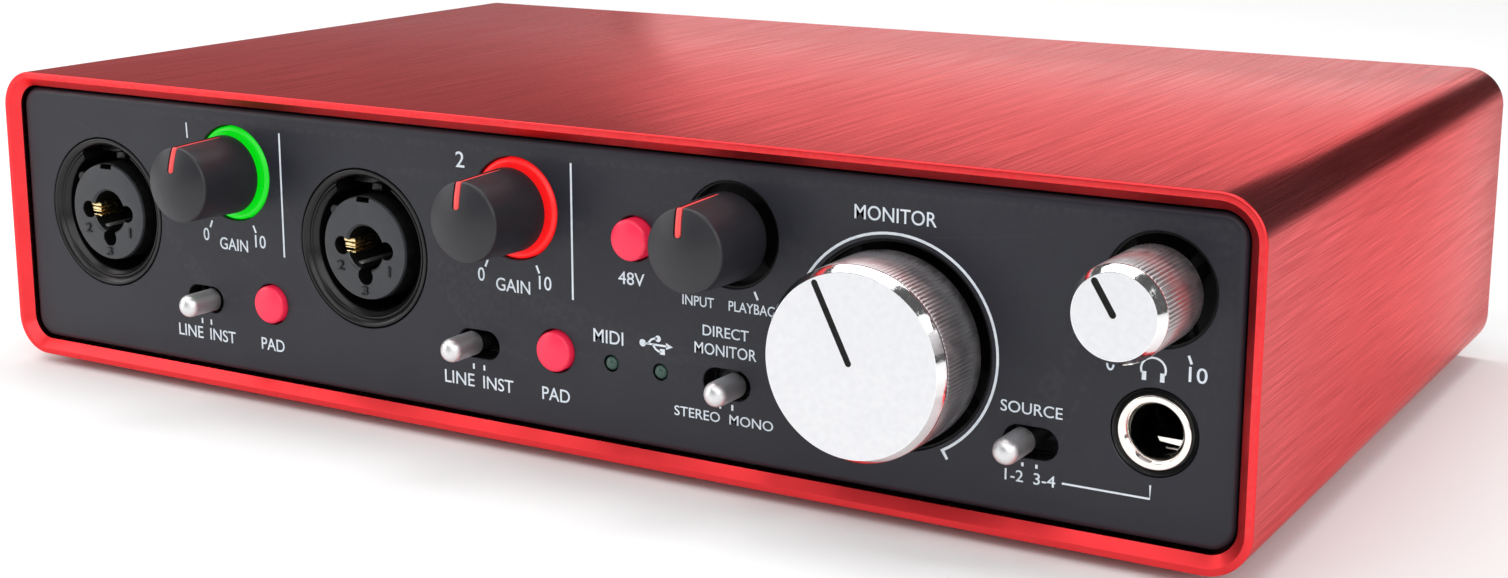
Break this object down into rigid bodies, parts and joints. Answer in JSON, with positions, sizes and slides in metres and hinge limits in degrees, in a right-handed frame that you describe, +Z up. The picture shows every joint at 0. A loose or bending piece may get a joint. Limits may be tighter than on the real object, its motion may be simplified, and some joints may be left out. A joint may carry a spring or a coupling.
{
  "type": "audio interface",
  "caption": "Desktop audio interface: red metal sleeve, grey front panel with combo inputs, knobs, switches and light rings, sockets at the rear.",
  "frame": {"origin": "centre of the whole object's footprint, on the surface the feet stand on", "axes": "+Z up; the front panel with the knobs faces -Y; +X to the right seen from the front"},
  "size_m": [0.21, 0.1442, 0.0485],
  "materials": {
    "red_aluminium": "red anodised brushed aluminium, satin",
    "panel_grey": "dark grey satin anodised panel",
    "black_steel": "black powder coat",
    "zinc_steel": "zinc plated sheet steel",
    "circuit_board": "green solder mask on glass-epoxy board",
    "black_plastic": "black moulded plastic",
    "dark_plastic": "dark grey moulded plastic, fine grain",
    "knob_rubber": "soft-touch dark grey rubber",
    "foot_rubber": "black rubber",
    "silver_aluminium": "spun face, diamond-cut edge, fine knurled side",
    "bright_steel": "bright plated metal",
    "button_red": "satin red plastic",
    "halo_green": "light ring, lit green",
    "halo_red": "light ring, lit red",
    "light_pipe": "clear greenish light pipe, unlit"
  },
  "bodies": {
    "housing": {"case_sleeve": "red_aluminium", "front_panel": "panel_grey", "rear_panel": "black_steel", "panel_carrier": "black_plastic", "chassis_tray": "zinc_steel", "main_board": "circuit_board", "control_board": "circuit_board", "foot_front_left": "foot_rubber", "foot_front_right": "foot_rubber", "foot_rear_left": "foot_rubber", "foot_rear_right": "foot_rubber", "rear_screw_left": "black_steel", "rear_screw_right": "black_steel", "combo_jack_1": "black_plastic", "combo_jack_2": "black_plastic", "combo_insert_1": "dark_plastic", "combo_insert_2": "dark_plastic", "gain_halo_1": "halo_green", "gain_halo_2": "halo_red", "gain_1_pot": "zinc_steel", "gain_2_pot": "zinc_steel", "mix_pot": "zinc_steel", "monitor_pot": "zinc_steel", "headphone_pot": "zinc_steel", "line_lever_1_switch": "zinc_steel", "line_lever_2_switch": "zinc_steel", "stereo_lever_switch": "zinc_steel", "source_lever_switch": "zinc_steel", "pad_button_1_switch": "black_plastic", "pad_button_2_switch": "black_plastic", "phantom_button_switch": "black_plastic", "midi_light_pipe": "light_pipe", "usb_light_pipe": "light_pipe", "headphone_jack": "black_plastic", "usb_socket": "bright_steel", "midi_out_socket": "black_plastic", "midi_in_socket": "black_plastic", "phono_block": "black_plastic", "line_out_right": "black_plastic", "line_out_left": "black_plastic"},
    "gain_knob_1_turn": {"gain_knob_1": "knob_rubber", "gain_1_shaft": "bright_steel", "gain_1_pointer": "button_red"},
    "gain_knob_2_turn": {"gain_knob_2": "knob_rubber", "gain_2_shaft": "bright_steel", "gain_2_pointer": "button_red"},
    "mix_knob_turn": {"mix_knob": "knob_rubber", "mix_shaft": "bright_steel", "mix_pointer": "button_red"},
    "monitor_knob_turn": {"monitor_knob": "silver_aluminium", "monitor_shaft": "bright_steel"},
    "headphone_knob_turn": {"headphone_knob": "silver_aluminium", "headphone_shaft": "bright_steel"},
    "line_lever_1_slider": {"line_lever_1": "bright_steel"},
    "line_lever_2_slider": {"line_lever_2": "bright_steel"},
    "stereo_lever_slider": {"stereo_lever": "bright_steel"},
    "source_lever_slider": {"source_lever": "bright_steel"},
    "pad_button_1_cap": {"pad_button_1": "button_red"},
    "pad_button_2_cap": {"pad_button_2": "button_red"},
    "phantom_button_cap": {"phantom_button": "button_red"}
  },
  "joints": [
    {"name": "gain_knob_1_spin", "type": "hinge", "parent": "housing", "child": "gain_knob_1_turn", "pos_m": [-0.05675, -0.06425, 0.0357], "axis": [0, 1, 0], "range_deg": [-150, 150]},
    {"name": "gain_knob_2_spin", "type": "hinge", "parent": "housing", "child": "gain_knob_2_turn", "pos_m": [-0.0033, -0.06425, 0.0357], "axis": [0, 1, 0], "range_deg": [-150, 150]},
    {"name": "mix_knob_spin", "type": "hinge", "parent": "housing", "child": "mix_knob_turn", "pos_m": [0.03235, -0.06425, 0.03575], "axis": [0, 1, 0], "range_deg": [-150, 150]},
    {"name": "monitor_knob_spin", "type": "hinge", "parent": "housing", "child": "monitor_knob_turn", "pos_m": [0.05645, -0.06425, 0.0239], "axis": [0, 1, 0], "range_deg": [-124, 176]},
    {"name": "headphone_knob_spin", "type": "hinge", "parent": "housing", "child": "headphone_knob_turn", "pos_m": [0.0918, -0.06425, 0.0356], "axis": [0, 1, 0], "range_deg": [-118, 182]},
    {"name": "line_lever_1_slide", "type": "slide", "parent": "housing", "child": "line_lever_1_slider", "axis": [1, 0, 0], "range_m": [-0.0024, 0]},
    {"name": "line_lever_2_slide", "type": "slide", "parent": "housing", "child": "line_lever_2_slider", "axis": [1, 0, 0], "range_m": [0, 0.0024]},
    {"name": "stereo_lever_slide", "type": "slide", "parent": "housing", "child": "stereo_lever_slider", "axis": [1, 0, 0], "range_m": [-0.0024, 0]},
    {"name": "source_lever_slide", "type": "slide", "parent": "housing", "child": "source_lever_slider", "axis": [1, 0, 0], "range_m": [0, 0.0024]},
    {"name": "pad_button_1_press", "type": "slide", "parent": "housing", "child": "pad_button_1_cap", "axis": [0, 1, 0], "range_m": [0, 0.0015], "stiffness_N_per_m": 200, "springref_m": -0.002},
    {"name": "pad_button_2_press", "type": "slide", "parent": "housing", "child": "pad_button_2_cap", "axis": [0, 1, 0], "range_m": [0, 0.0015], "stiffness_N_per_m": 200, "springref_m": -0.002},
    {"name": "phantom_button_press", "type": "slide", "parent": "housing", "child": "phantom_button_cap", "axis": [0, 1, 0], "range_m": [0, 0.0015], "stiffness_N_per_m": 200, "springref_m": -0.002}
  ]
}
